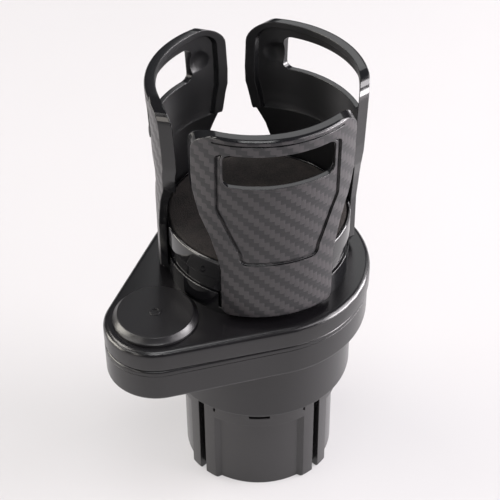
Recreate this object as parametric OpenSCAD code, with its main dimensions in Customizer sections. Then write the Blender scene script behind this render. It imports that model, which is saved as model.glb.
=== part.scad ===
// Swivelling double cup holder for a car: expanding base, lower cup well,
// upper deck that swings on a pivot, and three claws moved by a turning drum.
// Millimetres. Origin on the cup axis at the bottom face, Z up, pivot towards -X.

/* [Base] */
// outside diameter of the closed base
base_d = 73; // [70:0.5:92]
// height of the base under the cup body
base_h = 51.5; // [44:0.5:62]
// how far each base sector slides out
fin_travel = 10; // [4:0.5:12]
// turn of the cup body that opens the base fully, degrees
base_turn = 80; // [60:1:85]
// gap between two closed base sectors
fin_gap = 3.6; // [2:0.1:6]
// depth of the sunk panel in each base sector
fin_panel_step = 2.5; // [0.8:0.1:3]
// angle of the first base sector round the axis
fin_start = 48; // [0:1:90]

/* [Lower deck] */
// height of the cup body under the lower deck
body_h = 31; // [20:0.5:50]
// inside diameter of the lower cup well
well_d = 76; // [66:0.5:92]
// wall of the cup body round the well
well_wall = 3.2; // [2.4:0.1:5]
// thickness of the well floor
well_floor = 3.5; // [2.5:0.1:6]
// how far the lower deck stands out round the cup body
lower_ledge = 6.6; // [5:0.1:12]
// height of the lower deck edge
lower_t = 16; // [13:0.1:24]
// thickness of the lid that closes the lower deck
lid_t = 2.5; // [2:0.1:4]

/* [Upper deck] */
// how far the upper deck stands out round the drum
upper_ledge = 9.5; // [6:0.1:14]
// height of the upper deck
upper_t = 9.5; // [8:0.1:14]
// space between the decks, filled by the thrust washer at the pivot
deck_gap = 0.5; // [0.3:0.1:1.5]
// wall thickness of the moulded decks
deck_wall = 2.5; // [1.8:0.1:3.5]
// thickness of the top of the upper deck
deck_top = 3; // [2:0.1:4]

/* [Pivot] */
// diameter of the pivot bolt
bolt_d = 7.9; // [6:0.1:10]
// diameter of the lock knob
knob_d = 35.4; // [28:0.2:44]
// gap between knob and drum
knob_gap = 0.6; // [0.4:0.1:6]
// deck left round the knob
knob_ledge = 4.1; // [3:0.1:8]
// height of the lock knob above the deck
knob_h = 3.7; // [3:0.1:8]
// diameter of the knob hub that sinks into the deck
knob_hub_d = 20; // [18:0.2:24]
// size across the corners of the knob nut
nut_corner_d = 15; // [13:0.1:17]

/* [Drum] */
// outside diameter of the drum at the guide ring on the deck
drum_d = 78; // [70:0.2:96]
// height of the guide ring above the deck
guide_h = 10.5; // [9.5:0.1:14]
// how far the turning ring is set back from the guide ring
ring_step = 0.8; // [0:0.1:1.5]
// height of the drum cover
cover_h = 10; // [8:0.1:16]
// height of the turning ring
ring_h = 6.7; // [5:0.1:12]
// width of the rim round the foam pad
pad_rim = 1.6; // [1.2:0.1:4]
// thickness of the foam pad
pad_t = 4.4; // [2:0.1:6]

/* [Claws] */
// thickness of the claw stem
stem_wall = 2.8; // [2.4:0.1:4]
// gap between closed claw and drum
claw_gap = 0.6; // [0.5:0.1:4]
// top of the claws above the bottom face
claw_top = 201.5; // [180:0.5:245]
// outward lean of the claw at its top
claw_flare = 1.9; // [0:0.1:6]
// half width of the claw stem
stem_half = 23; // [16:0.1:24]
// half width of the claw head
head_half = 32.6; // [26:0.1:34]
// how far each claw slides out
claw_travel = 15; // [5:0.5:16]
// turn of the drum that opens the claws fully, degrees
claw_turn = 100; // [80:1:110]
// width of the claw foot that runs in the guide
foot_w = 14; // [10:0.1:16]
// diameter of the cam pins on claws and sectors
pin_d = 5; // [4:0.1:6]

/* [Fits] */
// running clearance on a radius
run_fit = 0.08; // [0.02:0.01:0.1]
// clearance beside sliding feet
slide_fit = 0.2; // [0.1:0.01:0.5]
// clearance between curved faces of different bodies
face_gap = 0.3; // [0.3:0.05:1]
// radius of the small screw shanks
screw_r = 1.25; // [1:0.05:1.6]

/* [Hidden] */
$fn = 96;
cut = 1;
round_steps = 4;
base_r = base_d / 2;
well_r = well_d / 2;
body_r = well_r + well_wall;
guide_r = drum_d / 2;
ring_r = guide_r - ring_step;
cover_r = guide_r + 0.1;
pad_r = cover_r - pad_rim;
claw_r = guide_r + claw_gap + stem_wall;
bolt_r = bolt_d / 2;
knob_r = knob_d / 2;
small_r = knob_r + knob_ledge;
lower_big_r = body_r + lower_ledge;
upper_big_r = guide_r + upper_ledge;
pivot_reach = guide_r + knob_gap + knob_r;
hub_r = knob_hub_d / 2;
pin_r = pin_d / 2;
foot_half = foot_w / 2;

body_z0 = base_h;
lower_z0 = body_z0 + body_h;
lower_z1 = lower_z0 + lower_t;
lid_z0 = lower_z1 - lid_t;
upper_z0 = lower_z1 + deck_gap;
upper_z1 = upper_z0 + upper_t;
guide_z1 = upper_z1 + guide_h;
ring_z0 = guide_z1 + face_gap;
ring_z1 = ring_z0 + ring_h;
cover_z1 = ring_z1 + cover_h;
pad_z0 = cover_z1 - 4;
deck_z0 = pad_z0 - 3;

// base stack
cover_t = 2.6;
channel_h = 5;
foot_t = channel_h - 2 * slide_fit;
disc_low_z1 = cover_t + 8;
cam_z0 = base_h - 8.2;
cam_groove = 4;
disc_up_z1 = cam_z0 - face_gap;
disc_up_z0 = disc_up_z1 - 8;
foot_low_z = cover_t + slide_fit;
foot_up_z = disc_up_z1 - channel_h + slide_fit;
fin_wall_r = base_r - 4.1;
fin_top = base_h - 0.4;
core_r = fin_wall_r - face_gap;
fin_pin_r = core_r - fin_travel - pin_r - 2.6;
fin_foot_r = fin_pin_r - 5.7;
column_r = fin_foot_r - 1.3;
post_r = min(8, fin_pin_r - pin_r - 1.5);
floor_z1 = body_z0 + well_floor;
washer_t = 1.2;
cover_screw_r = core_r - 11.1;
cam_screw_r = min(core_r - 11.1, well_r - 12);

// drum stack
guide_floor = 3;
guide_wall_r = guide_r - 3.5;
spindle_r = 7;
claw_foot_z0 = upper_z1 + guide_floor + 0.5;
claw_foot_t = 4;
cam_plate_z0 = claw_foot_z0 + claw_foot_t + 1;
cam_plate_z1 = ring_z0 + 3.2;
cam_plate_r = guide_wall_r - 0.5;
claw_groove = 3.9;
lip_w = 0.9;
claw_pin_r0 = cam_plate_r - claw_travel - pin_r - 3.5;
claw_foot_r0 = claw_pin_r0 - 5.5;
guide_screw_r = cam_plate_r - 5;
drum_screw_r = cam_plate_r - 11;
claw_z0 = claw_foot_z0;
claw_bend_z = claw_z0 + (claw_top - claw_z0) * 0.525;
claw_mid_z = claw_z0 + (claw_top - claw_z0) * 0.62;
claw_mid_r = claw_r + claw_flare * 0.4;
claw_top_r = claw_r + claw_flare;
window_z1 = claw_top - 7.2;

black = [0.09, 0.09, 0.10];
gloss = [0.05, 0.05, 0.06];
steel = [0.62, 0.63, 0.65];
foam = [0.16, 0.14, 0.13];

// points of an arc, from angle a0 to a1 in n steps
function arc(cx, cy, r, a0, a1, n) =
    [for (i = [0:n]) [cx + r * cos(a0 + (a1 - a0) * i / n), cy + r * sin(a0 + (a1 - a0) * i / n)]];

// half of a rounded symmetric outline, mirrored into a closed polygon
function mirrored(half) =
    concat(half, [for (i = [len(half) - 1:-1:0]) [-half[i][0], half[i][1]]]);

// outline of both decks: two arcs joined by their common tangents
function deck_outline(big, small, reach) =
    let (lean = asin((big - small) / reach))
    concat(arc(0, 0, big, -90 - lean, 90 + lean, 48),
           arc(-reach, 0, small, 90 + lean, 270 - lean, 22));

// centre radius of a cam groove that moves a pin from r0 by travel
function cam_r(r0, travel, part) = r0 + travel * part;

// points on an arc round the pin centre, counted from square across the cam path
function cam_arc(r0, travel, turn, half, part, from, to, n) =
    let (a = -turn * part, r = cam_r(r0, travel, part), square = a + atan(travel * 180 / (PI * turn * r)))
    arc(r * cos(a), r * sin(a), half, square + from, square + to, n);

// outline of a cam groove with round ends, wide enough for the pin
function cam_path(r0, travel, turn, half, steps) =
    concat([for (i = [1:steps - 1]) cam_arc(r0, travel, turn, half, i / steps, 0, 0, 1)[0]],
           cam_arc(r0, travel, turn, half, 1, 0, -180, 12),
           [for (i = [steps - 1:-1:1]) cam_arc(r0, travel, turn, half, i / steps, 180, 180, 1)[0]],
           cam_arc(r0, travel, turn, half, 0, -180, -360, 12));

module at_z(z) {
    translate([0, 0, z]) children();
}

module ring(r_out, r_in, h) {
    difference() {
        cylinder(r = r_out, h = h);
        translate([0, 0, -cut]) cylinder(r = r_in, h = h + 2 * cut);
    }
}

module block(x0, x1, y0, y1, z0, z1) {
    translate([x0, y0, z0]) cube([x1 - x0, y1 - y0, z1 - z0]);
}

module pan_screw(head_r, head_h, shank_r, length) {
    cylinder(r = head_r, h = head_h);
    translate([0, 0, -length]) cylinder(r = shank_r, h = length + 0.2);
}

module around(count, start = 0) {
    for (i = [0:count - 1]) rotate([0, 0, start + i * 360 / count]) children();
}

module cam_groove_cut(r0, travel, turn, depth) {
    translate([0, 0, -cut]) linear_extrude(depth + cut)
        polygon(cam_path(r0, travel, turn, pin_r + run_fit, 32));
}

// Base: ring of four sectors on a fixed core, pushed out by a spiral cam disc

module base_cover() {
    color(black) difference() {
        cylinder(r = core_r, h = cover_t);
        around(4, fin_start + 45) translate([cover_screw_r, 0, -cut]) {
            cylinder(r = screw_r + run_fit, h = cover_t + 2 * cut);
            cylinder(r = 2.9, h = cut + 1.6);
        }
    }
}

module cover_screws() {
    color(steel) around(4, fin_start + 45) translate([cover_screw_r, 0, 1.6])
        mirror([0, 0, 1]) pan_screw(2.6, 1.4, screw_r, 7);
}

module core_channel(z0, z1) {
    block(fin_foot_r - 0.6, base_r, -foot_half - slide_fit, foot_half + slide_fit, z0, z1);
}

module base_core() {
    color(black) difference() {
        union() {
            at_z(cover_t) cylinder(r = core_r, h = disc_low_z1 - cover_t);
            at_z(disc_low_z1 - cut) cylinder(r = column_r, h = disc_up_z0 - disc_low_z1 + 2 * cut);
            at_z(disc_up_z0) cylinder(r = core_r, h = disc_up_z1 - disc_up_z0);
            at_z(disc_up_z1 - cut) cylinder(r = post_r, h = floor_z1 - disc_up_z1 + cut + run_fit);
            around(4, fin_start + 45)
                block(column_r - 2, core_r - 2, -1.4, 1.4, disc_low_z1 - 1, disc_up_z0 + 1);
        }
        around(4, fin_start) {
            core_channel(cover_t - cut, cover_t + channel_h);
            core_channel(disc_up_z1 - channel_h, disc_up_z1 + cut);
        }
        at_z(floor_z1 - 22) cylinder(r = 2.9, h = 22 + cut);
        around(4, fin_start + 45) translate([cover_screw_r, 0, cover_t - cut])
            cylinder(r = screw_r, h = 7 + cut);
    }
}

// plan of the sunk panel: wedge between its side walls, which slant outwards
function panel_plan(r_in, r_out, a_in, a_out, reach) =
    let (p = [r_in * cos(a_in), r_in * sin(a_in)], q = [r_out * cos(a_out), r_out * sin(a_out)],
         far = p + (q - p) * reach)
    [[0, 0], p, far, [far[0], -far[1]], [p[0], -p[1]]];

module radial_prism(points, x0, x1) {
    translate([x0, 0, 0]) rotate([90, 0, 90]) linear_extrude(x1 - x0) polygon(points);
}

module fin_form() {
    wedge_x = fin_gap / 2 * sqrt(2);
    wedge_reach = base_r * 1.6;
    panel_angle = 30.6;
    bar_angle = 33.2;
    plan_reach = 9;
    band_z = base_h * 0.787;
    foot_x1 = base_r - 3;
    rib_y = 10;
    bottom_bevel = 0.8;
    slot_half = 4.6;
    slot_z = band_z + 4.6;
    notch_z = band_z + 3.6;
    difference() {
        union() {
            intersection() {
                difference() {
                    union() {
                        cylinder(r1 = base_r - bottom_bevel, r2 = base_r, h = bottom_bevel);
                        at_z(bottom_bevel) cylinder(r = base_r, h = fin_top - bottom_bevel);
                    }
                    at_z(-cut) cylinder(r = fin_wall_r, h = fin_top + 2 * cut);
                }
                linear_extrude(fin_top)
                    polygon([[wedge_x, 0], [wedge_reach, wedge_reach - wedge_x],
                             [wedge_reach, wedge_x - wedge_reach]]);
            }
            block(fin_foot_r, foot_x1, -foot_half, foot_half, foot_up_z, foot_up_z + foot_t);
            block(fin_foot_r, foot_x1, -foot_half, foot_half, foot_low_z, foot_low_z + foot_t);
            translate([fin_pin_r, 0, foot_up_z + foot_t - 0.5])
                cylinder(r = pin_r, h = cam_z0 + cam_groove - foot_up_z - foot_t);
            for (side = [-1, 1])
                block(fin_wall_r - 5, foot_x1, side * rib_y - 1, side * rib_y + 1,
                      disc_low_z1 + 0.5, disc_up_z0 - 0.5);
        }
        difference() {
            at_z(-cut) linear_extrude(band_z + cut)
                polygon(panel_plan(base_r - fin_panel_step, base_r, panel_angle, bar_angle, plan_reach));
            at_z(-2 * cut) cylinder(r = base_r - fin_panel_step, h = base_h + 3 * cut);
        }
        block(base_r - 2.2, base_r + 2, -slot_half, slot_half, slot_z, slot_z + 1.5);
        for (side = [-1, 1])
            rotate([0, 0, side * bar_angle])
                block(base_r - 1.6, base_r + 2, -0.5, 0.5, notch_z, notch_z + 4);
    }
}

module fin_at(step) {
    color(black) rotate([0, 0, fin_start + 90 * step]) fin_form();
}

module fin_1() { fin_at(0); }

module fin_2() { fin_at(1); }

module fin_3() { fin_at(2); }

module fin_4() { fin_at(3); }

module base_bolt() {
    color(steel) at_z(floor_z1 + run_fit + washer_t) difference() {
        pan_screw(5.2, 3.2, 2.85, 18);
        at_z(1.6) cylinder(r = 2, h = 3, $fn = 6);
    }
}

module base_washer() {
    color(steel) at_z(floor_z1 + run_fit) ring(12, 2.9, washer_t);
}

module cam_disc() {
    color(black) difference() {
        at_z(cam_z0) cylinder(r = core_r, h = body_z0 - cam_z0);
        at_z(cam_z0) around(4, fin_start) cam_groove_cut(fin_pin_r, fin_travel, base_turn, cam_groove);
        at_z(cam_z0 - cut) cylinder(r = post_r + run_fit, h = 12);
        around(4, 45) translate([cam_screw_r, 0, body_z0 - 3.8]) cylinder(r = screw_r, h = 5);
    }
}

module cam_screws() {
    color(steel) at_z(floor_z1) around(4, 45) translate([cam_screw_r, 0, 0])
        pan_screw(2.8, 1.8, screw_r, well_floor + 3.6);
}

// Lower deck: round cup body and teardrop tray in one moulding, closed by a lid

module deck_layer(big, small, z, h) {
    at_z(z) linear_extrude(h) polygon(deck_outline(big, small, pivot_reach));
}

// thin layers that carry a rounded deck edge from z to z + rise
module deck_round(big, small, z, rise) {
    skin = 0.02;
    rnd = abs(rise);
    for (i = [1:round_steps]) {
        back = rnd * (1 - cos(90 * i / round_steps));
        deck_layer(big - back, small - back,
                   z + rise * sin(90 * i / round_steps) - (rise > 0 ? skin : 0), skin);
    }
}

function lid_points() = [[-pivot_reach + 10.5, 22], [-pivot_reach + 10.5, -22], [-pivot_reach - 15.3, 0]];

module lower_deck() {
    edge = 1.6;
    rim = 0.9;
    color(black) difference() {
        union() {
            hull() {
                deck_round(lower_big_r, small_r, lower_z0 + edge, -edge);
                deck_layer(lower_big_r, small_r, lower_z0 + edge, lid_z0 - lower_z0 - edge);
            }
            at_z(body_z0) rotate_extrude() polygon(concat(
                [[0, 0]], arc(body_r - rim, rim, rim, -90, 0, 4), [[body_r, body_h + 1], [0, body_h + 1]]));
        }
        difference() {
            deck_layer(lower_big_r - deck_wall, small_r - deck_wall, lower_z0 + deck_wall, lower_t);
            cylinder(r = body_r, h = lower_z1 + cut);
            translate([-pivot_reach, 0, 0]) cylinder(r = 11, h = lower_z1 + cut);
            for (p = lid_points()) translate([p[0], p[1], 0]) cylinder(r = 3.4, h = lower_z1 + cut);
            block(-pivot_reach, -body_r + 1, -1.2, 1.2, 0, lid_z0 - 3);
        }
        at_z(floor_z1) cylinder(r = well_r, h = lower_z1);
        at_z(body_z0 - cut) cylinder(r = post_r + run_fit, h = 12);
        around(4, 45) translate([cam_screw_r, 0, body_z0 - cut])
            cylinder(r = screw_r + run_fit, h = well_floor + 2 * cut);
        translate([-pivot_reach, 0, lower_z0 - cut]) {
            cylinder(r = bolt_r + run_fit, h = lower_t + 2 * cut);
            cylinder(r = 7 + run_fit, h = 4.2 + cut, $fn = 6);
        }
        for (p = lid_points()) translate([p[0], p[1], lid_z0 - 7]) cylinder(r = screw_r, h = 9);
    }
}

module lower_lid() {
    edge = 1.1;
    color(black) difference() {
        hull() {
            deck_layer(lower_big_r, small_r, lid_z0, lid_t - edge);
            deck_round(lower_big_r, small_r, lower_z1 - edge, edge);
        }
        at_z(lid_z0 - cut) cylinder(r = well_r, h = lid_t + 2 * cut);
        translate([-pivot_reach, 0, lid_z0 - cut]) cylinder(r = bolt_r + run_fit, h = lid_t + 2 * cut);
        for (p = lid_points()) translate([p[0], p[1], lid_z0 - cut]) {
            cylinder(r = screw_r + run_fit, h = lid_t + 2 * cut);
            at_z(lid_t - 1.5 + cut) cylinder(r = 2.8, h = 3);
        }
    }
}

module lid_screws() {
    color(steel) for (p = lid_points()) translate([p[0], p[1], lower_z1 - 1.5])
        pan_screw(2.5, 1.2, screw_r, 7);
}

// Pivot: hexagon bolt through both decks, locked by the knob on top

module pivot_bolt() {
    color(steel) translate([-pivot_reach, 0, lower_z0]) {
        cylinder(r = 7, h = 4.2, $fn = 6);
        cylinder(r = bolt_r, h = upper_z1 + 1.5 - lower_z0);
    }
}

module thrust_washer() {
    color(steel) translate([-pivot_reach, 0, lower_z1]) ring(12, bolt_r + run_fit, deck_gap);
}

module pivot_knob() {
    face_r = knob_r - 1.9;
    color(gloss) translate([-pivot_reach, 0, upper_z1]) difference() {
        union() {
            at_z(0.2) rotate_extrude() polygon([[0, 0], [knob_r, 0], [knob_r, 1.1],
                                               [knob_r - 0.5, 1.5], [face_r, knob_h - 0.4],
                                               [face_r - 0.5, knob_h - 0.2], [0, knob_h - 0.2]]);
            at_z(-2.8) cylinder(r = hub_r, h = 3.4);
            at_z(knob_h - 0.5) cylinder(r = 2.4, h = 0.9);
        }
        at_z(-2.8 - cut) cylinder(r = nut_corner_d / 2 + run_fit, h = 5 + cut, $fn = 6);
        at_z(knob_h - 0.1) cylinder(r = 1.5, h = 1);
    }
}

module knob_nut() {
    color(steel) translate([-pivot_reach, 0, upper_z1 - 2.8]) difference() {
        cylinder(r = nut_corner_d / 2, h = 4.8, $fn = 6);
        at_z(-cut) cylinder(r = bolt_r + run_fit, h = 8);
    }
}

// Upper deck: teardrop plate that swings and carries the claw guide

module upper_plate() {
    edge = 2.6;
    low_edge = 0.6;
    hub_boss = hub_r + 2.6;
    color(black) difference() {
        union() {
            difference() {
                hull() {
                    deck_layer(upper_big_r - low_edge / 2, small_r - low_edge / 2, upper_z0, 0.02);
                    deck_layer(upper_big_r, small_r, upper_z0 + low_edge, upper_t - edge - low_edge);
                    deck_round(upper_big_r, small_r, upper_z1 - edge, edge);
                }
                deck_layer(upper_big_r - deck_wall, small_r - deck_wall,
                           upper_z0 - cut, upper_t - deck_top + cut);
            }
            intersection() {
                deck_layer(upper_big_r - 1, small_r - 1, upper_z0 + 0.6, upper_t - 1.5);
                union() {
                    at_z(upper_z0) ring(20, 17.6, upper_t - 1);
                    around(6, 0) block(19, upper_big_r, -1, 1, upper_z0, upper_z1 - 1);
                    for (side = [-1, 1])
                        block(-pivot_reach, -17, side * 9 - 1, side * 9 + 1, upper_z0, upper_z1 - 1);
                }
            }
            translate([-pivot_reach, 0, upper_z0]) cylinder(r = hub_boss, h = upper_t - 1);
        }
        translate([-pivot_reach, 0, 0]) {
            at_z(upper_z1 - 3) cylinder(r = hub_r + face_gap, h = 3 + cut);
            at_z(upper_z0 - cut) cylinder(r = bolt_r + run_fit, h = upper_t);
        }
        around(3, 60) translate([guide_screw_r, 0, 0]) {
            at_z(upper_z0 - cut) cylinder(r = screw_r + run_fit, h = upper_t + 2 * cut);
            at_z(upper_z0 - cut) cylinder(r = 4, h = upper_t - deck_top + cut);
        }
    }
}

module guide_base() {
    opening_half = stem_half + 0.4;
    rail_top = claw_foot_z0 + claw_foot_t + 0.2;
    color(gloss) difference() {
        union() {
            at_z(upper_z1) cylinder(r = guide_r, h = guide_floor);
            difference() {
                at_z(upper_z1) ring(guide_r, guide_wall_r, guide_h);
                around(3, 0) block(guide_wall_r - 16, guide_r + cut, -opening_half, opening_half,
                                   upper_z1 + guide_floor, guide_z1 + cut);
            }
            at_z(upper_z1) cylinder(r = spindle_r, h = cam_plate_z1 + 0.1 - upper_z1);
            around(3, 60) translate([guide_screw_r, 0, upper_z1]) cylinder(r = 3.6, h = guide_floor + 5);
            around(3, 0) for (side = [-1, 1])
                block(11, guide_wall_r, min(side * (foot_half + slide_fit), side * (foot_half + 2.6)),
                      max(side * (foot_half + slide_fit), side * (foot_half + 2.6)),
                      upper_z1 + 1, rail_top);
        }
        at_z(cam_plate_z1 - 13) cylinder(r = 1.9, h = 16);
        around(3, 60) translate([guide_screw_r, 0, upper_z1 - cut]) cylinder(r = screw_r, h = 7.5);
    }
}

module guide_screws() {
    color(steel) around(3, 60) translate([guide_screw_r, 0, upper_z1 - deck_top])
        mirror([0, 0, 1]) pan_screw(2.8, 1.8, screw_r, deck_top + 6);
}

module spindle_washer() {
    color(steel) at_z(cam_plate_z1 + 0.1) ring(10, 2, 1);
}

module spindle_screw() {
    color(steel) at_z(cam_plate_z1 + 1.1) difference() {
        pan_screw(4, 2.6, 1.9, 12);
        at_z(1.2) around(2, 0) block(-2.6, 2.6, -0.5, 0.5, 0, 2);
    }
}

// Drum: turning disc with the claw cam, its cover and the foam pad

module turn_disc() {
    color(gloss) difference() {
        union() {
            at_z(cam_plate_z0) cylinder(r = cam_plate_r, h = cam_plate_z1 - cam_plate_z0);
            at_z(ring_z0) ring(ring_r, cam_plate_r - 2.4, ring_h);
            at_z(ring_z1 - cut) ring(cover_r - 2.9, cam_plate_r - 2.4, 2.8 + cut);
            around(3, 0) translate([drum_screw_r, 0, cam_plate_z1 - 1])
                cylinder(r = 4, h = deck_z0 - cam_plate_z1 + 1);
        }
        at_z(cam_plate_z0) around(3, 0) cam_groove_cut(claw_pin_r0, claw_travel, claw_turn, claw_groove);
        at_z(cam_plate_z0 - cut) cylinder(r = spindle_r + run_fit, h = 12);
        around(3, 0) translate([drum_screw_r, 0, deck_z0 - 5.5]) cylinder(r = screw_r, h = 8);
    }
}

module drum_cover() {
    color(gloss) difference() {
        at_z(ring_z1) rotate_extrude() polygon([
            [0, deck_z0 - ring_z1], [cover_r - 2.6, deck_z0 - ring_z1], [cover_r - 2.6, 0],
            [cover_r - 0.4, 0], [cover_r, 0.5], [cover_r, cover_h - 1.2], [cover_r - 0.35, cover_h - 0.35],
            [cover_r - 0.9, cover_h], [pad_r + 0.5, cover_h], [pad_r + 0.2, cover_h - 0.4],
            [pad_r + 0.2, pad_z0 - ring_z1], [0, pad_z0 - ring_z1]]);
        around(3, 0) translate([drum_screw_r, 0, 0]) {
            at_z(deck_z0 - cut) cylinder(r = screw_r + run_fit, h = 8);
            at_z(pad_z0 - 1.7) cylinder(r = 3, h = 4);
        }
    }
}

module drum_screws() {
    color(steel) around(3, 0) translate([drum_screw_r, 0, pad_z0 - 1.7])
        pan_screw(2.7, 1.5, screw_r, 6.4);
}

module foam_pad() {
    color(foam) at_z(pad_z0) rotate_extrude() polygon([
        [0, 0], [pad_r, 0], [pad_r, pad_t - 0.8], [pad_r - 0.25, pad_t - 0.25],
        [pad_r - 0.8, pad_t], [0, pad_t]]);
}

// Claws: curved plates with a carbon panel, a window and an inner rim flange

// rounded outline of a claw seen from outside, grown or shrunk by inset
function claw_outline(inset) =
    let (rise = claw_top - claw_z0, sh = stem_half - inset, hh = head_half - inset,
         top = claw_top - inset, foot = claw_z0 + inset, rnd = 9 - inset)
    mirrored(concat(
        arc(sh - 3, foot + 3, 3, -90, 0, 4),
        [[sh, claw_z0 + rise * 0.26], [sh + 1.2, claw_z0 + rise * 0.33],
         [sh + 3.6, claw_z0 + rise * 0.44], [sh + 7, claw_z0 + rise * 0.545],
         [hh - 1.4, claw_z0 + rise * 0.61], [hh - 0.3, claw_z0 + rise * 0.68], [hh, claw_z0 + rise * 0.76]],
        arc(hh - rnd, top - rnd, rnd, 0, 90, 9)));

function window_half() = head_half * 0.675;

function window_outline(grow) =
    let (half = window_half() + grow, z0 = claw_top - 22.8 - grow, z1 = window_z1 + grow, rnd = 3 + grow)
    concat(arc(half - rnd, z1 - rnd, rnd, 0, 90, 6), arc(rnd - half, z1 - rnd, rnd, 90, 180, 6),
           arc(rnd - half, z0 + rnd, rnd, 180, 270, 6), arc(half - rnd, z0 + rnd, rnd, 270, 360, 6));

// outline of the sunk carbon panel below the top of the window, shrunk by inset
function claw_panel(inset) =
    let (half = head_half * 0.76 - inset, low = head_half * 0.5 - inset * 1.07, rise = claw_top - claw_z0,
         rnd = 3.4 - inset, z0 = claw_z0 + rise * 0.305 + inset, z1 = window_z1 - 0.4 - inset)
    mirrored(concat(arc(low - rnd, z0 + rnd, rnd, -90, 0, 5),
                    [[low + 0.1, claw_z0 + rise * 0.36], [half - 0.7, claw_z0 + rise * 0.585],
                     [half, claw_z0 + rise * 0.61]],
                    arc(half - rnd + 1, z1 - rnd + 1, rnd - 1, 0, 90, 5)));

module claw_sweep(points) {
    rotate([0, 0, -60]) rotate_extrude(angle = 120) polygon(points);
}

// part of the claw wall from its outer face down to a depth
module claw_skin(depth) {
    claw_sweep([[claw_r - depth, claw_z0], [claw_r + 5, claw_z0], [claw_top_r + 5, claw_top],
                [claw_top_r - depth, claw_top], [claw_mid_r - depth, claw_mid_z],
                [claw_r - depth, claw_bend_z]]);
}

// ring groove along the edge of the sunk panel, interrupted by the window lip
module panel_groove(from, to, depth) {
    intersection() {
        claw_skin(depth);
        difference() {
            radial_prism(claw_panel(from), 10, 60);
            radial_prism(claw_panel(to), 9, 61);
            radial_prism(window_outline(lip_w), 9, 61);
        }
    }
}

module claw_form() {
    r0 = claw_r;
    z0 = claw_z0;
    z1 = claw_top;
    zf = claw_bend_z;
    zm = claw_mid_z;
    rm = claw_mid_r;
    rt = claw_top_r;
    panel_step = 0.5;
    top_edge = 1.4;
    top_groove_z = z1 - 2.8;
    flange_z0 = zf + 0.6;
    flange_w = 2.6;
    flange_shift = 2.4;
    flange_r = r0 - 4.6 + flange_shift;
    web_y = stem_half - 1;
    dish_r = 12;
    dish_deep = 0.6;
    dish_turn = asin((window_half() + head_half - flange_w) / 2 / rt);
    difference() {
        union() {
            intersection() {
                claw_sweep(concat([[r0 - stem_wall, z0], [r0, z0], [r0, zf], [rm, zm]],
                                  arc(rt - top_edge, z1 - top_edge, top_edge, 0, 90, 4),
                                  [[rt - 2.4, z1], [rm - 2.2, zm], [r0 - 2.2, zf + 1],
                                   [r0 - stem_wall, zf]]));
                radial_prism(claw_outline(0), 0, 60);
            }
            intersection() {
                difference() {
                    claw_sweep([[r0 - 1, flange_z0], [rm - 1, zm], [rt - 1.5, z1],
                                [rt - 24, z1], [r0 - 24, flange_z0]]);
                    translate([-flange_shift, 0, 0]) rotate_extrude() polygon([
                        [0, zf - cut], [flange_r, zf - cut], [flange_r, zf + 0.1],
                        [flange_r + rm - r0, zm], [flange_r + rt - r0, z1 + cut], [0, z1 + cut]]);
                }
                difference() {
                    radial_prism(claw_outline(0), 0, 60);
                    radial_prism(claw_outline(flange_w), -cut, 61);
                }
            }
            intersection() {
                cylinder(r = r0 - 1, h = claw_foot_z0 + claw_foot_t);
                union() {
                    block(guide_wall_r + 0.4, r0, -web_y, web_y, claw_foot_z0, claw_top);
                    for (side = [-1, 1])
                        block(guide_wall_r - 6, r0, min(side * (foot_half + 3), side * web_y),
                              max(side * (foot_half + 3), side * web_y), claw_foot_z0, claw_top);
                }
            }
            block(claw_foot_r0, guide_wall_r + 1, -foot_half, foot_half,
                  claw_foot_z0, claw_foot_z0 + claw_foot_t);
            translate([claw_pin_r0, 0, claw_foot_z0 + claw_foot_t - 0.5])
                cylinder(r = pin_r, h = claw_groove + 1.1);
        }
        radial_prism(window_outline(0), 20, 60);
        for (side = [-1, 1])
            rotate([0, 0, side * dish_turn])
                translate([rt - 2.3 + dish_deep - dish_r, 0, claw_top - 15]) sphere(r = dish_r);
        intersection() {
            claw_skin(panel_step);
            difference() {
                radial_prism(claw_panel(0), 10, 60);
                radial_prism(window_outline(lip_w), 9, 61);
            }
        }
        panel_groove(0, 1.4, 0.75);
        panel_groove(0.35, 1.05, 1.1);
        intersection() {
            at_z(top_groove_z) ring(rt + 3, rt - 0.65, 0.7);
            block(0, rt + 5, 7 - head_half, head_half - 7, 0, z1);
        }
    }
}

module claw_1() { color(black) claw_form(); }

module claw_2() { color(black) rotate([0, 0, 120]) claw_form(); }

module claw_3() { color(black) rotate([0, 0, 240]) claw_form(); }

base_cover();
cover_screws();
base_core();
fin_1();
fin_2();
fin_3();
fin_4();
base_bolt();
base_washer();
cam_disc();
cam_screws();
lower_deck();
lower_lid();
lid_screws();
pivot_bolt();
thrust_washer();
upper_plate();
guide_base();
guide_screws();
spindle_screw();
spindle_washer();
turn_disc();
drum_cover();
drum_screws();
foam_pad();
claw_1();
claw_2();
claw_3();
pivot_knob();
knob_nut();
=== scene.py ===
"""Looks of a swivelling double car cup holder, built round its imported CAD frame."""

import logging
import math
from dataclasses import dataclass
from enum import Enum

import bmesh
import bpy
from mathutils import Matrix, Vector, noise


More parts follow.
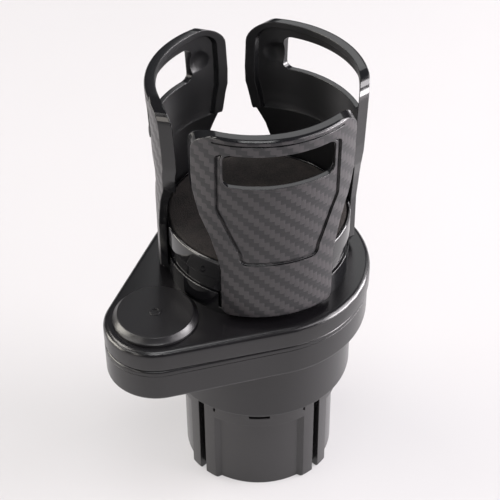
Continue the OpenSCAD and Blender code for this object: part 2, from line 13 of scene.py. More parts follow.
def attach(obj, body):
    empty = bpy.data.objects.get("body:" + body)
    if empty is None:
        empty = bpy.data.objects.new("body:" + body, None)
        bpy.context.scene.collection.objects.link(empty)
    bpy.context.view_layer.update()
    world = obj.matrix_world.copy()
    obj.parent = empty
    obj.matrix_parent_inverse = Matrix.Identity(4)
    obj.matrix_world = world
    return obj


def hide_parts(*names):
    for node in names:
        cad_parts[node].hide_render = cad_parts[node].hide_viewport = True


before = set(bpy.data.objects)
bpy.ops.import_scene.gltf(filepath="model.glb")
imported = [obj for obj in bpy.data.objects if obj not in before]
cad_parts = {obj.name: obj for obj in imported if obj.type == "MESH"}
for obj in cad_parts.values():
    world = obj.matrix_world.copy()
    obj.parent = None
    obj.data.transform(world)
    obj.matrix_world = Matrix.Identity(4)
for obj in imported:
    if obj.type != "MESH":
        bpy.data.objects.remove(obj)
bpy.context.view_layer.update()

MM = 0.001
SHARP_DEG = 38  # built pieces shade smooth up to this angle
EDGE_SAMPLES = 6  # rays that the shader casts to round an edge
log = logging.getLogger("cup_holder")


def linear(code: str) -> tuple[float, float, float, float]:
    """Turns an sRGB hex code into a linear colour.

    Args:
        code: Six hex digits after a hash sign.

    Returns:
        Linear red, green and blue, and an alpha of one.
    """
    parts = [int(code[i:i + 2], 16) / 255 for i in (1, 3, 5)]
    return (*[p / 12.92 if p <= 0.04045 else ((p + 0.055) / 1.055) ** 2.4 for p in parts], 1.0)


def add_node(tree: bpy.types.NodeTree, kind: str, settings: dict | None = None,
             links: dict | None = None) -> bpy.types.Node:
    """Adds a shader node with its settings and links.

    Args:
        tree: The node tree that receives the node.
        kind: The node's class name without its ShaderNode prefix.
        settings: Values by socket name or number, or by property name.
        links: Source nodes or sockets by input name or number.

    Returns:
        The new node.
    """
    node = tree.nodes.new("ShaderNode" + kind)
    for name, value in (settings or {}).items():
        if isinstance(name, str) and hasattr(node, name):
            setattr(node, name, value)
    for name, value in (settings or {}).items():
        if not isinstance(name, str) or not hasattr(node, name):
            node.inputs[name].default_value = value
    for name, source in (links or {}).items():
        out = source.outputs[0] if isinstance(source, bpy.types.Node) else source
        tree.links.new(out, node.inputs[name])
    return node


def new_material(name: str) -> tuple[bpy.types.Material, bpy.types.NodeTree]:
    """Makes an empty node material.

    Args:
        name: The finish's plain name.

    Returns:
        The material and its emptied node tree.
    """
    material = bpy.data.materials.new(name)
    material.use_nodes = True
    material.node_tree.nodes.clear()
    return material, material.node_tree


class ToolFace(Enum):
    """How the steel tool's face was made: the roughness it leaves, and how far that strays."""

    POLISHED = (0.06, 0.015)
    FINE_BLASTED = (0.242, 0.01)
    BLASTED = (0.32, 0.02)
    SPARK_ERODED = (0.235, 0.015)
    AS_MILLED = (0.5, 0.05)


@dataclass(frozen=True)
class MouldedAbs:
    """Black ABS as it leaves a steel tool, plain or lightly grained."""

    name: str
    face: ToolFace
    colour: str
    light_colour: str
    grain_mm: float
    grain_depth_mm: float
    edge_mm: float = 0.45  # radius that the tool leaves on every edge
    cloud_mm: float = 28.0
    ior: float = 1.54  # ABS

    def material(self) -> bpy.types.Material:
        """Builds the finish.

        Returns:
            A material with a faint flow mottle, an uneven gloss and the tool's grain.
        """
        material, tree = new_material(self.name)
        roughness, stray = self.face.value
        place = add_node(tree, "TexCoord")
        # Melt that cools unevenly leaves soft clouds a few centimetres wide in the colour.
        cloud = add_node(tree, "TexNoise",
                         {"Scale": 1 / (self.cloud_mm * MM), "Detail": 3.0, "Roughness": 0.6},
                         {"Vector": place.outputs["Object"]})
        grain = add_node(tree, "TexNoise", {"Scale": 1 / (self.grain_mm * MM), "Detail": 2.0},
                         {"Vector": place.outputs["Object"]})
        # Noise lies mostly between 0.3 and 0.7, and that part is stretched to the full range.
        tint = add_node(tree, "MapRange", {"From Min": 0.35, "From Max": 0.7}, {"Value": cloud})
        colour = add_node(tree, "Mix", {"data_type": "RGBA", 6: linear(self.colour),
                                        7: linear(self.light_colour)}, {0: tint})
        gloss = add_node(tree, "MapRange", {"From Min": 0.3, "From Max": 0.7,
                                            "To Min": roughness - stray,
                                            "To Max": roughness + stray}, {"Value": grain})
        soft_edge = add_node(tree, "Bevel", {"samples": EDGE_SAMPLES, "Radius": self.edge_mm * MM})
        bump = add_node(tree, "Bump", {"Strength": 1.0, "Distance": self.grain_depth_mm * MM},
                        {"Height": grain, "Normal": soft_edge})
        shader = add_node(tree, "BsdfPrincipled", {"IOR": self.ior},
                          {"Base Color": colour.outputs[2], "Roughness": gloss, "Normal": bump})
        add_node(tree, "OutputMaterial", {}, {"Surface": shader})
        return material


@dataclass(frozen=True)
class CarbonTwillAbs:
    """Black ABS claw: a carbon twill film moulded on the outside, tool faces elsewhere."""

    name: str = "claw ABS with carbon twill film"
    # Both tows are black; the warp's paler colour is painted sheen, standing for the light that
    # tows running up reflect.
    weft: str = "#131215"
    warp: str = "#302d2f"
    inner: str = "#0e0e10"
    tow_mm: float = 2.1  # counted on the photograph, four tows to a repeat
    relief_mm: float = 0.03
    radius_mm: float = 42.9
    tow_fall: float = 3.2  # a tow's height drops to a fifth at its edges
    fibre_mm: float = 0.8  # real fibres are 0.007 mm, so their streaks are drawn coarse
    fibre_share: float = 0.35
    cloud_mm: float = 30.0
    dimmest_sheen: float = 0.72  # share of the warp's painted sheen that its dimmest patches keep
    film_starts: float = 0.86  # how squarely a face looks outwards where the film starts
    film_full: float = 0.93
    dull_until: float = -0.9  # a face that looks this squarely at the cup is dull
    shiny_from: float = -0.6
    weft_dulling: float = 0.05
    warp_shine: float = 0.06
    roughness: float = 0.36
    inner_roughness: float = 0.38
    edge_roughness: float = 0.12
    edge_mm: float = 0.55
    ior: float = 1.54  # ABS

    def weave(self, tree: bpy.types.NodeTree,
              point: bpy.types.Node) -> tuple[bpy.types.Node, bpy.types.Node]:
        """Lays a two by two twill round the cup axis.

        Args:
            tree: The material's node tree.
            point: The separated object coordinates.

        Returns:
            A node that is one on warp tows, and a node with each tow's arch across its width.
        """
        around = add_node(tree, "Math", {"operation": "ARCTAN2"},
                          {0: point.outputs["Y"], 1: point.outputs["X"]})
        across = add_node(tree, "Math",
                          {"operation": "MULTIPLY", 1: self.radius_mm / self.tow_mm}, {0: around})
        up = add_node(tree, "Math", {"operation": "MULTIPLY", 1: 1 / (self.tow_mm * MM)},
                      {0: point.outputs["Z"]})
        column = add_node(tree, "Math", {"operation": "FLOOR"}, {0: across})
        row = add_node(tree, "Math", {"operation": "FLOOR"}, {0: up})
        # Two tows of every four lie on top, and each row shifts them by one.
        step = add_node(tree, "Math", {"operation": "ADD"}, {0: column, 1: row})
        turn = add_node(tree, "Math", {"operation": "FLOORED_MODULO", 1: 4.0}, {0: step})
        warp_up = add_node(tree, "Math", {"operation": "LESS_THAN", 1: 1.5}, {0: turn})
        in_column = add_node(tree, "Math", {"operation": "FRACT"}, {0: across})
        in_row = add_node(tree, "Math", {"operation": "FRACT"}, {0: up})
        offset = add_node(tree, "Mix", {"data_type": "FLOAT"},
                          {0: warp_up, 2: in_row, 3: in_column})
        centred = add_node(tree, "Math", {"operation": "SUBTRACT", 1: 0.5}, {0: offset.outputs[0]})
        squared = add_node(tree, "Math", {"operation": "MULTIPLY"}, {0: centred, 1: centred})
        arch = add_node(tree, "Math", {"operation": "MULTIPLY_ADD", 1: -self.tow_fall, 2: 1.0},
                        {0: squared})
        return warp_up, arch

    def material(self) -> bpy.types.Material:
        """Builds the finish.

        Returns:
            A material with a satin twill on faces that look away from the cup axis. The film is
            pale where the tows run up, by painted sheen, and dark where they run across, so the
            eye sees stair shaped bands. The inside is satin, and edges shine, as a polished tool
            leaves them.
        """
        material, tree = new_material(self.name)
        place = add_node(tree, "TexCoord")
        point = add_node(tree, "SeparateXYZ", {}, {0: place.outputs["Object"]})
        warp_up, arch = self.weave(tree, point)
        fibre = add_node(tree, "TexNoise", {"Scale": 1 / (self.fibre_mm * MM), "Detail": 1.0},
                         {"Vector": place.outputs["Object"]})
        cloud = add_node(tree, "TexNoise", {"Scale": 1 / (self.cloud_mm * MM), "Detail": 2.0},
                         {"Vector": place.outputs["Object"]})
        # Only faces that look outwards carry the film.
        flat = add_node(tree, "CombineXYZ", {}, {0: point.outputs["X"], 1: point.outputs["Y"]})
        radial = add_node(tree, "VectorMath", {"operation": "NORMALIZE"}, {0: flat})
        facing = add_node(tree, "VectorMath", {"operation": "DOT_PRODUCT"},
                          {0: radial, 1: place.outputs["Normal"]})
        outer = add_node(tree, "MapRange",
                         {"From Min": self.film_starts, "From Max": self.film_full},
                         {"Value": facing.outputs["Value"]})
        # Painted sheen: tows catch the light unevenly, in streaks along them and in wide soft
        # patches, and this is painted into the warp's colour.
        patchy_sheen = add_node(tree, "Math", {"operation": "MULTIPLY_ADD", 1: self.fibre_share},
                          {0: fibre, 2: cloud})
        sheen_strength = add_node(tree, "MapRange", {"From Min": 0.45, "From Max": 0.9,
                                               "To Min": self.dimmest_sheen, "To Max": 1.0},
                            {"Value": patchy_sheen})
        sheen_tone = add_node(tree, "Math", {"operation": "MULTIPLY"}, {0: warp_up, 1: sheen_strength})
        twill = add_node(tree, "Mix", {"data_type": "RGBA", 6: linear(self.weft),
                                       7: linear(self.warp)}, {0: sheen_tone})
        colour = add_node(tree, "Mix", {"data_type": "RGBA", 6: linear(self.inner)},
                          {0: outer, 7: twill.outputs[2]})
        height = add_node(tree, "Math", {"operation": "MULTIPLY"}, {0: arch, 1: outer})
        film = add_node(tree, "MapRange", {"To Min": self.roughness + self.weft_dulling,
                                           "To Max": self.roughness - self.warp_shine},
                        {"Value": sheen_tone})
        tool = add_node(tree, "MapRange",
                        {"From Min": self.dull_until, "From Max": self.shiny_from,
                         "To Min": self.inner_roughness, "To Max": self.edge_roughness},
                        {"Value": facing.outputs["Value"]})
        gloss = add_node(tree, "Mix", {"data_type": "FLOAT"}, {0: outer, 2: tool, 3: film})
        soft_edge = add_node(tree, "Bevel", {"samples": EDGE_SAMPLES, "Radius": self.edge_mm * MM})
        bump = add_node(tree, "Bump", {"Strength": 1.0, "Distance": self.relief_mm * MM},
                        {"Height": height, "Normal": soft_edge})
        shader = add_node(tree, "BsdfPrincipled", {"IOR": self.ior},
                          {"Base Color": colour.outputs[2], "Roughness": gloss.outputs[0],
                           "Normal": bump})
        add_node(tree, "OutputMaterial", {}, {"Surface": shader})
        return material


@dataclass(frozen=True)
class EvaFoam:
    """Closed cell EVA foam, die cut, with a skin of fine pores."""

    name: str = "die cut EVA foam"
    colour: str = "#2b2523"
    # The pore colour is painted shade in the pores.
    pore_shade: str = "#100d0c"
    pore_mm: float = 0.55  # real pores are about 0.1 mm, too fine to show, so they are drawn coarse
    pore_depth_mm: float = 0.12
    pore_strength: float = 0.7
    cloud_mm: float = 6.0
    roughness: float = 0.92
    ior: float = 1.48  # EVA

    def material(self) -> bpy.types.Material:
        """Builds the finish.

        Returns:
            A dull dark brown material with painted shade in its pores, which break up the light, so
            it never shines.
        """
        material, tree = new_material(self.name)
        place = add_node(tree, "TexCoord")
        cells = add_node(tree, "TexVoronoi", {"Scale": 1 / (self.pore_mm * MM)},
                         {"Vector": place.outputs["Object"]})
        cloud = add_node(tree, "TexNoise", {"Scale": 1 / (self.cloud_mm * MM), "Detail": 4.0},
                         {"Vector": place.outputs["Object"]})
        # Painted shade: the pore colour darkens the cell borders, where the bump sinks, and the
        # cloud also varies it at random.
        shade = add_node(tree, "Math", {"operation": "MULTIPLY"},
                         {0: cells.outputs["Distance"], 1: cloud})
        share = add_node(tree, "MapRange", {"From Min": 0.05, "From Max": 0.4}, {"Value": shade})
        colour = add_node(tree, "Mix", {"data_type": "RGBA", 6: linear(self.colour),
                                        7: linear(self.pore_shade)}, {0: share})
        bump = add_node(tree, "Bump", {"Strength": self.pore_strength, "invert": True,
                                       "Distance": self.pore_depth_mm * MM},
                        {"Height": cells.outputs["Distance"]})
        shader = add_node(tree, "BsdfPrincipled", {"IOR": self.ior, "Roughness": self.roughness},
                          {"Base Color": colour.outputs[2], "Normal": bump})
        add_node(tree, "OutputMaterial", {}, {"Surface": shader})
        return material


@dataclass(frozen=True)
class ZincSteel:
    """Bright zinc plated steel of the small hardware."""

    name: str = "zinc plated steel"
    colour: str = "#c3c6c8"
    haze: str = "#a9adb2"
    roughness: float = 0.32
    stray: float = 0.1
    cloud_mm: float = 2.5

    def material(self) -> bpy.types.Material:
        """Builds the finish.

        Returns:
            A metal with the faint cloudy haze that plating leaves.
        """
        material, tree = new_material(self.name)
        place = add_node(tree, "TexCoord")
        cloud = add_node(tree, "TexNoise", {"Scale": 1 / (self.cloud_mm * MM), "Detail": 3.0},
                         {"Vector": place.outputs["Object"]})
        colour = add_node(tree, "Mix", {"data_type": "RGBA", 6: linear(self.haze),
                                        7: linear(self.colour)}, {0: cloud})
        gloss = add_node(tree, "MapRange", {"To Min": self.roughness - self.stray,
                                            "To Max": self.roughness + self.stray},
                         {"Value": cloud})
        shader = add_node(tree, "BsdfPrincipled", {"Metallic": 1.0},
                          {"Base Color": colour.outputs[2], "Roughness": gloss})
        add_node(tree, "OutputMaterial", {}, {"Surface": shader})
        return material


@dataclass(frozen=True)
class LitAcrylic:
    """White acrylic sheet, lit from below, which keeps the shadows pale."""

    name: str = "backlit opal acrylic"
    colour: str = "#8e8c8d"
    glow: str = "#f3f1f2"
    glow_strength: float = 0.472
    dimmest: float = 0.985  # shares of the glow between which the sheet varies
    brightest: float = 1.015
    cloud_mm: float = 60.0
    roughness: float = 0.6
    shine: float = 0.3  # kept low, so the sheet mirrors little

    def material(self) -> bpy.types.Material:
        """Builds the finish.

        Returns:
            A pale even material with a barely visible cloudiness in the sheet.
        """
        material, tree = new_material(self.name)
        place = add_node(tree, "TexCoord")
        cloud = add_node(tree, "TexNoise", {"Scale": 1 / (self.cloud_mm * MM), "Detail": 1.0},
                         {"Vector": place.outputs["Object"]})
        light = add_node(tree, "MapRange", {"To Min": self.glow_strength * self.dimmest,
                                            "To Max": self.glow_strength * self.brightest},
                         {"Value": cloud})
        shader = add_node(tree, "BsdfPrincipled",
                          {"Base Color": linear(self.colour), "Roughness": self.roughness,
                           "Specular IOR Level": self.shine, "Emission Color": linear(self.glow)},
                          {"Emission Strength": light})
        add_node(tree, "OutputMaterial", {}, {"Surface": shader})
        return material


# A polished tool gives deep black faces that mirror the room, with thin bright edges.
GLOSS_ABS = MouldedAbs("polished black ABS", ToolFace.POLISHED, "#09090b", "#0c0c0e",
                       1.2, 0.0003, 0.55)
# A fine blast on the tool spreads reflections into soft bands that fade at their ends.
DECK_ABS = MouldedAbs("satin black ABS", ToolFace.FINE_BLASTED, "#0c0b0d", "#111012",
                      0.7, 0.0003, 0.5)
# The knob's tool is blasted a little more than the deck's, so its disc looks greyer.
KNOB_ABS = MouldedAbs("fine satin black ABS", ToolFace.BLASTED, "#121113", "#161517",
                      0.6, 0.0003, 0.2)
# Spark erosion leaves a fine grain, which the eye reads as an even dark grey.
BASE_ABS = MouldedAbs("grained black ABS", ToolFace.SPARK_ERODED, "#201f20", "#262526",
                      0.6, 0.0008, 0.5)
# The tool of the inner pieces stays as it was milled, so they look plain and dull.
INNER_ABS = MouldedAbs("plain black ABS", ToolFace.AS_MILLED, "#0f0f10", "#131314", 0.8, 0.006)


@dataclass(frozen=True)
class EdgeRound:
    """Small radius that every moulded edge has, made with modifiers on a CAD node."""

    width_mm: float = 0.3
    segments: int = 3
    angle_deg: float = 28
    merge_mm: float = 0.004
    face_weight: int = 60  # how much more a large face pulls the shading than a small one

    def smoothing(self) -> bpy.types.NodeTree:
        """Makes the geometry nodes that join the CAD faces and shade them smooth up to an angle.

        Returns:
            The node group, made once for each angle and joining distance.
        """
        name = f"smooth_under_{self.angle_deg:g}_{self.merge_mm:g}"
        if name in bpy.data.node_groups:
            return bpy.data.node_groups[name]
        group = bpy.data.node_groups.new(name, "GeometryNodeTree")
        for way in ("INPUT", "OUTPUT"):
            group.interface.new_socket("Geometry", in_out=way, socket_type="NodeSocketGeometry")
        source, sink = group.nodes.new("NodeGroupInput"), group.nodes.new("NodeGroupOutput")
        joined = group.nodes.new("GeometryNodeMergeByDistance")
        joined.inputs["Distance"].default_value = self.merge_mm * MM
        faces = group.nodes.new("GeometryNodeSetShadeSmooth")
        edges = group.nodes.new("GeometryNodeSetShadeSmooth")
        edges.domain = "EDGE"
        angle = group.nodes.new("GeometryNodeInputMeshEdgeAngle")
        under = group.nodes.new("FunctionNodeCompare")
        under.operation = "LESS_THAN"
        under.inputs[1].default_value = math.radians(self.angle_deg)
        for start, end in ((source.outputs[0], joined.inputs[0]),
                           (joined.outputs[0], faces.inputs[0]),
                           (faces.outputs[0], edges.inputs[0]),
                           (angle.outputs[0], under.inputs[0]),
                           (under.outputs[0], edges.inputs["Shade Smooth"]),
                           (edges.outputs[0], sink.inputs[0])):
            group.links.new(start, end)
        return group

    def apply(self, obj: bpy.types.Object) -> None:
        """Adds the modifiers.

        Args:
            obj: The CAD node's object.
        """
        obj.modifiers.new("joined_faces", "NODES").node_group = self.smoothing()
        bevel = obj.modifiers.new("edge_round", "BEVEL")
        bevel.width = self.width_mm * MM
        bevel.segments = self.segments
        bevel.limit_method = "ANGLE"
        bevel.angle_limit = math.radians(self.angle_deg)
        bevel.use_clamp_overlap = True
        bevel.miter_outer = "MITER_ARC"
        normal = obj.modifiers.new("even_shading", "WEIGHTED_NORMAL")
        normal.keep_sharp = True
        normal.weight = self.face_weight


def dress(node: str, finish: bpy.types.Material, edge: EdgeRound) -> None:
    """Gives a CAD node its finish and its edge radius.

    Args:
        node: The CAD node's name.
        finish: The material.
        edge: The edge radius.
    """
    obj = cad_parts[node]
    obj.data.materials.clear()
    obj.data.materials.append(finish)
    edge.apply(obj)
    log.info("%s dressed in %s", node, finish.name)


def lathe(mesh: bmesh.types.BMesh, profile: list[tuple[float, float]], count: int,
          at: tuple[float, float] = (0.0, 0.0)) -> list[list[bmesh.types.BMVert]]:
    """Turns a profile about an upright axis.

    Args:
        mesh: The mesh that receives the faces.
        profile: Radius and height of each ring in millimetres. A radius of zero closes the end.
        count: How many steps one turn has.
        at: The axis in millimetres.

    Returns:
        The rings of vertices. A closed end has one vertex.
    """
    rings = []
    for radius, height in profile:
        steps = 1 if radius == 0 else count
        turns = [2 * math.pi * i / count for i in range(steps)]
        rings.append([mesh.verts.new(((at[0] + radius * math.cos(a)) * MM,
                                      (at[1] + radius * math.sin(a)) * MM,
                                      height * MM)) for a in turns])
    for low, high in zip(rings, rings[1:]):
        for i in range(count):
            corners = [low[i % len(low)], low[(i + 1) % len(low)],
                       high[(i + 1) % len(high)], high[i % len(high)]]
            mesh.faces.new(list(dict.fromkeys(corners)))
    return rings


def quarter(steps: int, start: int = 0) -> list[float]:
    """Gives the angles of a quarter turn in equal steps, from a starting step to its end."""
    return [math.pi / 2 * i / steps for i in range(start, steps + 1)]


def finished(name: str, mesh: bmesh.types.BMesh, finish: bpy.types.Material,
             body: str) -> bpy.types.Object:
    """Turns a built mesh into a piece that rides on a body.

    Args:
        name: The piece's plain name.
        mesh: The built mesh. It is freed.
        finish: The material.
        body: The body that carries the piece.

    Returns:
        The new piece.
    """
    bmesh.ops.recalc_face_normals(mesh, faces=mesh.faces)
    data = bpy.data.meshes.new(name)
    mesh.to_mesh(data)
    mesh.free()
    for face in data.polygons:
        face.use_smooth = True
    data.set_sharp_from_angle(angle=math.radians(SHARP_DEG))
    data.materials.append(finish)
    piece = bpy.data.objects.new(name, data)
    bpy.context.scene.collection.objects.link(piece)
    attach(piece, body)
    log.info("%s built with %d faces", name, len(data.polygons))
    return piece


@dataclass(frozen=True)
class CrossScrews:
    """A set of pan head screws with a cross recess and a rolled thread, driven from one side."""

    node: str
    body: str
    head_z: float  # the plane under the head
    points: tuple[tuple[float, float], ...]
    head_r: float
    head_h: float
    length: float
    down: bool = False  # True where the head looks down
    shank_r: float = 1.25
    pitch: float = 0.9
    rings_per_turn: int = 4
    thread_cut: float = 0.16  # share of the shank's radius that the thread's root loses
    plain_neck: float = 0.4  # length under the head without a thread
    plain_end: float = 0.1
    tip_share: float = 0.5  # the point's radius as a share of the shank's
    tip_rise: float = 0.02
    arm: float = 0.58  # the cross's reach as a share of the head's radius
    arm_half: float = 0.13
    wall: float = 0.12  # width over which the cross's walls slope
    cross_depth: float = 0.55  # share of the head's height
    cross_field: float = 0.62  # share of the head's radius with rings fine enough for a cross
    rim: float = 0.45  # share of the head's height where its dome starts
    rise: float = 0.55  # share of the head's height that the dome adds
    dome_rings: int = 6
    count: int = 40

    def recess(self, x: float, y: float) -> float:
        """Tells how deep the cross is cut at a place on the head.

        Args:
            x: Place across the head in millimetres.
            y: Place along the head in millimetres.

        Returns:
            The depth in millimetres.
        """
        arm, half = self.head_r * self.arm, self.head_r * self.arm_half
        inside = max(min(arm - abs(x), half - abs(y)), min(arm - abs(y), half - abs(x)))
        return min(max(inside / self.wall + 0.5, 0.0), 1.0) * self.head_h * self.cross_depth

    def dome(self, cosine: float) -> float:
        """Gives the head's height where its dome has turned to this cosine."""
        return self.head_h * (self.rim + self.rise * cosine)

    def profile(self) -> list[tuple[float, float]]:
        """Draws half of the screw's outline, from the middle of its head to its point.

        Returns:
            Radius, and height over the plane under the head, in millimetres.
        """
        fine = [self.head_r * f for f in (0.0, 0.07, 0.12, 0.17, 0.24, 0.32, 0.4, 0.48, 0.55, 0.61)]
        top = [(r, self.dome(math.sqrt(max(1 - (r / self.head_r) ** 2, 0)))) for r in fine]
        side = [(self.head_r * math.sin(t), self.dome(math.cos(t)))
                for t in quarter(self.dome_rings)]
        rows = round(self.length / self.pitch * self.rings_per_turn)
        shank = [(self.shank_r, -self.length * i / rows) for i in range(1, rows)]
        return top + [p for p in side if p[0] > self.head_r * self.cross_field] + \
            [(self.head_r, 0.0), (self.shank_r, 0.0)] + shank + \
            [(self.shank_r * self.tip_share, -self.length + self.tip_rise), (0.0, -self.length)]

    def screw(self, mesh: bmesh.types.BMesh, x: float, y: float) -> None:
        """Builds one screw.

        Args:
            mesh: The mesh that receives it.
            x: Its axis in millimetres.
            y: Its axis in millimetres.
        """
        way = -1 if self.down else 1
        profile = self.profile()
        rings = lathe(mesh, [(r, self.head_z + way * h) for r, h in profile], self.count, (x, y))
        for ring, (radius, height) in zip(rings, profile):
            for vert in ring:
                dx, dy = vert.co.x / MM - x, vert.co.y / MM - y
                if height > 0 and radius < self.head_r * self.cross_field:
                    vert.co.z -= way * self.recess(dx, dy) * MM
                elif -self.length + self.plain_end < height < -self.plain_neck:
                    turn = (height / self.pitch - math.atan2(dy, dx) / (2 * math.pi)) % 1.0
                    keep = 1 - self.thread_cut * abs(2 * turn - 1)
                    vert.co.x, vert.co.y = (x + dx * keep) * MM, (y + dy * keep) * MM

    def build(self, finish: bpy.types.Material) -> None:
        """Builds the set and lets it stand for its CAD node.

        Args:
            finish: The material.
        """
        mesh = bmesh.new()
        for x, y in self.points:
            self.screw(mesh, x, y)
        piece = finished(f"{self.node}_detailed", mesh, finish, self.body)
        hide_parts(self.node)


def ring_points(count: int, radius: float, start_deg: float) -> tuple[tuple[float, float], ...]:
    """Spreads points evenly round the cup axis.

    Args:
        count: How many.
        radius: Their distance from the axis in millimetres.
        start_deg: The first one's angle.

    Returns:
        The points in millimetres.
    """
    turns = [math.radians(start_deg + 360 * i / count) for i in range(count)]
    return tuple((radius * math.cos(a), radius * math.sin(a)) for a in turns)


@dataclass
class Base:
    """Expanding base: fixed core, its cover, the cam disc and four sliding sectors."""

    sectors: int = 4
    edge: EdgeRound = EdgeRound(0.35)
    inner_edge: EdgeRound = EdgeRound(0.2)

    def build(self) -> None:
        """Dresses the base."""
        shell = BASE_ABS.material()
        inner = INNER_ABS.material()
        for i in range(self.sectors):
            dress(f"fin_{i + 1}", shell, self.edge)
        for node in ("base_core", "base_cover", "cam_disc"):
            dress(node, inner, self.inner_edge)


@dataclass
class Decks:
    """Lower deck with its lid, and the upper plate on the pivot."""

    edge: EdgeRound = EdgeRound(0.3, merge_mm=0.03)

    def build(self) -> None:
        """Dresses both decks."""
        satin = DECK_ABS.material()
        for node in ("lower_deck", "lower_lid", "upper_plate"):
            dress(node, satin, self.edge)


@dataclass
class Drum:
    """Guide ring, turning ring and cover, and the pivot's knob."""

    edge: EdgeRound = EdgeRound(0.6, segments=4)
    knob_edge: EdgeRound = EdgeRound(0.25)

    def build(self) -> None:
        """Dresses the drum and the knob."""
        gloss = GLOSS_ABS.material()
        for node in ("guide_base", "turn_disc", "drum_cover"):
            dress(node, gloss, self.edge)
        dress("pivot_knob", KNOB_ABS.material(), self.knob_edge)


@dataclass
class CupPad:
    """Foam pad on the drum, die cut from sheet and glued at its middle."""

    radius: float = 37.5
    low: float = 132.0
    high: float = 136.4
    edge: float = 0.9
    crown: float = 0.3
    waviness: float = 0.14
    wide_wave: float = 9.0
    short_wave: float = 4.0
    layers: tuple[float, float] = (3.1, 7.7)  # where in the noise each wave is taken
    skin: float = 0.95  # share of the rounded edge's height that waves with the top
    pull_in: float = 0.2  # a die squeezes the wall, which springs back hollow
    foot: float = 0.2
    face_rings: int = 30
    edge_rings: int = 6
    count: int = 112

    def top(self, x: float, y: float) -> float:
        """Gives the height of the foam's skin.

        Args:
            x: Place in millimetres.
            y: Place in millimetres.

        Returns:
            The height in millimetres, never above the sheet.
        """
        wide, short = self.layers
        wave = noise.noise(Vector((x / self.wide_wave, y / self.wide_wave, wide))) + \
            0.5 * noise.noise(Vector((x / self.short_wave, y / self.short_wave, short)))
        sag = self.crown * ((x * x + y * y) / self.radius ** 2) ** 2
        return self.high - sag - self.waviness * (0.75 + 0.5 * wave)

    def profile(self) -> list[tuple[float, float]]:
        """Draws half of the pad's outline, from the middle of its top to that of its underside.

        Returns:
            Radius and height in millimetres.
        """
        flat = self.radius - self.edge
        face = [(flat * i / self.face_rings, self.high) for i in range(self.face_rings + 1)]
        rim = [(flat + self.edge * math.sin(t), self.high - self.edge + self.edge * math.cos(t))
               for t in quarter(self.edge_rings, 1)]
        wall = [(self.radius - self.pull_in, (self.low + self.high) / 2),
                (self.radius, self.low + self.foot)]
        return face + rim + wall + [(self.radius - self.foot, self.low), (0.0, self.low)]

    def build(self) -> None:
        """Builds the pad and lets it stand for its CAD solid."""
        mesh = bmesh.new()
        profile = self.profile()
        rings = lathe(mesh, profile, self.count)
        for ring, (_, height) in zip(rings, profile):
            if height < self.high - self.edge * self.skin:
                continue
            for vert in ring:
                x, y = vert.co.x / MM, vert.co.y / MM
                vert.co.z = (self.top(x, y) - (self.high - height)) * MM
        pad = finished("foam_pad_soft", mesh, EvaFoam().material(), "drum")
        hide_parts("foam_pad")


@dataclass
class Claws:
    """Three curved claws."""

    count: int = 3
    edge: EdgeRound = EdgeRound(0.45)

    def build(self) -> None:
        """Dresses the claws."""
        twill = CarbonTwillAbs().material()
        for i in range(self.count):
            dress(f"claw_{i + 1}", twill, self.edge)


@dataclass
class Hardware:
    """Screws, washers, bolts and nut."""

    plain: tuple[str, ...] = ("base_bolt", "base_washer", "pivot_bolt", "thrust_washer",
                              "spindle_screw", "spindle_washer", "knob_nut")
    edge: EdgeRound = EdgeRound(0.2)
    screws: tuple[CrossScrews, ...] = (
        CrossScrews("cover_screws", "base", 1.6, ring_points(4, 21.0, 93), 2.6, 1.4, 7.0,
                    down=True),
        CrossScrews("cam_screws", "lower_body", 55.0, ring_points(4, 21.0, 45), 2.8, 1.8, 7.1),
        CrossScrews("lid_screws", "lower_body", 97.0,
                    ((-46.8, 22.0), (-46.8, -22.0), (-72.6, 0.0)), 2.5, 1.2, 7.0),
        CrossScrews("guide_screws", "upper_body", 105.5, ring_points(3, 30.0, 60), 2.8, 1.8, 9.0,
                    down=True),
        CrossScrews("drum_screws", "drum", 130.3, ring_points(3, 24.0, 0), 2.7, 1.5, 6.4))

    def build(self) -> None:
        """Dresses the plain hardware and builds the screws."""
        steel = ZincSteel().material()
        for node in self.plain:
            dress(node, steel, self.edge)
        for screws in self.screws:
            screws.build(steel)


@dataclass(frozen=True)
class Softbox:
    """An oblong softbox on a sphere round the object, placed by the camera's heading."""

    name: str
    turn_deg: float  # 0 stands over the camera, 90 to its right
    height_deg: float
    size_m: tuple[float, float]
    power_w: float
    colour: str = "#ffffff"
    distance_m: float = 1.5


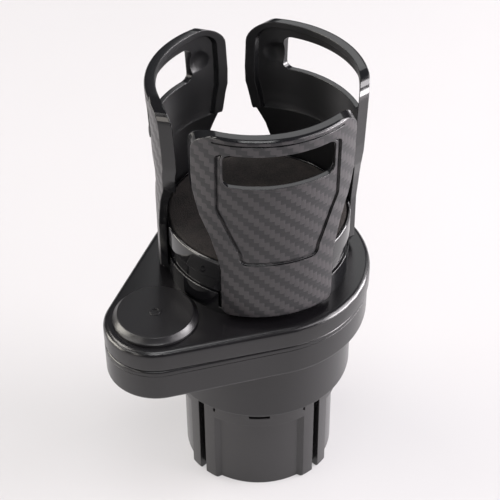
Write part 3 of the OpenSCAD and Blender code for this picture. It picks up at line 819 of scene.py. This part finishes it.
@dataclass
class Studio:
    """Pale floor, soft lights and the camera, placed relative to the camera's heading."""

    heading_deg: float = -42.26
    elevation_deg: float = 40.31
    distance_mm: float = 630.0
    focal_px: float = 1463.95
    frame_px: int = 500
    sensor_mm: float = 36.0
    clip_m: tuple[float, float] = (0.01, 50.0)
    roll_deg: float = -0.49
    target_mm: tuple[float, float, float] = (-2.44, 2.22, 112.1)
    floor_size_m: float = 12.0
    aim_m: tuple[float, float, float] = (0.0, 0.0, 0.1)  # where every softbox looks
    room: str = "#f4f5fc"
    backdrop: str = "#f6f4f5"
    wall_light: float = 0.06
    wall_top: float = 0.12  # upward part of a direction below which it meets a wall
    room_light: float = 0.17
    ceiling_from: float = 0.5
    softboxes: tuple[Softbox, ...] = (
        Softbox("right_low_softbox", 92, 13, (1.5, 0.6), 64.0, "#fffafd"),
        Softbox("right_side_softbox", 92, 39, (0.7, 0.5), 11.5, "#fffafd"),
        Softbox("right_front_softbox", 58, 37, (0.7, 0.4), 4.5, "#fffafd"),
        Softbox("left_low_softbox", -88, 12, (1.1, 0.55), 20.0, "#fffaf0"),
        Softbox("left_side_softbox", -108, 56, (0.8, 0.4), 9.5, "#fffaf4"),
        Softbox("left_front_softbox", -64, 37, (1.0, 0.3), 4.0, "#fffcf8"),
        Softbox("top_softbox", 0, 82, (0.42, 0.42), 3.6),
        Softbox("front_high_softbox", 0, 56, (0.6, 0.2), 3.8),
        Softbox("rim_softbox", 125, 28, (0.6, 0.6), 2.6),
        Softbox("back_softbox", 168, 42, (0.7, 0.5), 1.5),
        Softbox("left_near_softbox", -38, 20, (0.22, 0.55), 1.4, "#fff8f0"))

    def at(self, right: float, away: float, up: float) -> Vector:
        """Turns metres right of, away from and above the camera's heading into a frame point."""
        a = math.radians(self.heading_deg)
        return Vector((right * math.cos(a) - away * math.sin(a),
                       right * math.sin(a) + away * math.cos(a), up))

    def camera(self) -> None:
        """Makes the camera at the photograph's angle."""
        a, e = math.radians(self.heading_deg), math.radians(self.elevation_deg)
        back = Vector((math.sin(a) * math.cos(e), -math.cos(a) * math.cos(e), math.sin(e)))
        right = Vector((math.cos(a), math.sin(a), 0.0))
        up = back.cross(right)
        r = math.radians(self.roll_deg)
        right, up = right * math.cos(r) + up * math.sin(r), up * math.cos(r) - right * math.sin(r)
        data = bpy.data.cameras.new("camera")
        data.sensor_width = self.sensor_mm
        data.lens = self.sensor_mm * self.focal_px / self.frame_px
        data.clip_start, data.clip_end = self.clip_m
        camera = bpy.data.objects.new("camera", data)
        place = Vector(self.target_mm) * MM + back * self.distance_mm * MM
        turn = Matrix((right, up, back)).transposed().to_4x4()
        camera.matrix_world = Matrix.Translation(place) @ turn
        bpy.context.scene.collection.objects.link(camera)
        bpy.context.scene.camera = camera

    def lamp(self, box: Softbox) -> None:
        """Adds a softbox that faces the object.

        Args:
            box: Its place, size, power and colour.
        """
        turn, height = math.radians(box.turn_deg), math.radians(box.height_deg)
        reach = box.distance_m * math.cos(height)
        where = self.at(reach * math.sin(turn), -reach * math.cos(turn),
                        box.distance_m * math.sin(height))
        data = bpy.data.lights.new(box.name, "AREA")
        data.shape = "RECTANGLE"
        data.size, data.size_y = box.size_m
        data.energy = box.power_w
        data.color = linear(box.colour)[:3]
        lamp = bpy.data.objects.new(box.name, data)
        lamp.location = where
        lamp.visible_camera = False
        lamp.rotation_mode = "QUATERNION"
        lamp.rotation_quaternion = (Vector(self.aim_m) - where).to_track_quat("-Z", "Y")
        bpy.context.scene.collection.objects.link(lamp)

    def walls(self) -> None:
        """Makes the world: dark studio walls, and a pale ceiling that fills the shadows."""
        world = bpy.data.worlds.new("studio")
        world.use_nodes = True
        tree = world.node_tree
        tree.nodes.clear()
        path = add_node(tree, "LightPath")
        sky = add_node(tree, "TexCoord")
        way = add_node(tree, "SeparateXYZ", {}, {0: sky.outputs["Generated"]})
        glow = add_node(tree, "MapRange", {"From Min": self.wall_top, "From Max": self.ceiling_from,
                                           "To Min": self.wall_light, "To Max": self.room_light},
                        {"Value": way.outputs["Z"]})
        room = add_node(tree, "Background", {"Color": linear(self.room)}, {"Strength": glow})
        seen = add_node(tree, "Background", {"Color": linear(self.backdrop), "Strength": 1.0})
        both = add_node(tree, "MixShader", {},
                        {0: path.outputs["Is Camera Ray"], 1: room, 2: seen})
        add_node(tree, "OutputWorld", {}, {"Surface": both})
        bpy.context.scene.world = world

    def floor(self) -> None:
        """Lays the floor."""
        half = self.floor_size_m / 2
        mesh = bpy.data.meshes.new("floor")
        mesh.from_pydata([(-half, -half, 0), (half, -half, 0), (half, half, 0), (-half, half, 0)],
                         [], [(0, 1, 2, 3)])
        mesh.materials.append(LitAcrylic().material())
        floor = bpy.data.objects.new("floor", mesh)
        bpy.context.scene.collection.objects.link(floor)

    def build(self) -> None:
        """Makes the world, the floor, the lights and the camera."""
        bpy.context.scene.view_settings.view_transform = "Standard"
        self.walls()
        self.floor()
        for box in self.softboxes:
            self.lamp(box)
        self.camera()


def main() -> None:
    """Builds every sub-assembly in order."""
    logging.basicConfig(level=logging.INFO, format="%(message)s")
    for part in (Base(), Decks(), Drum(), CupPad(), Claws(), Hardware(), Studio()):
        part.build()
        log.info("%s done", type(part).__name__)


if __name__ == "__main__":
    main()
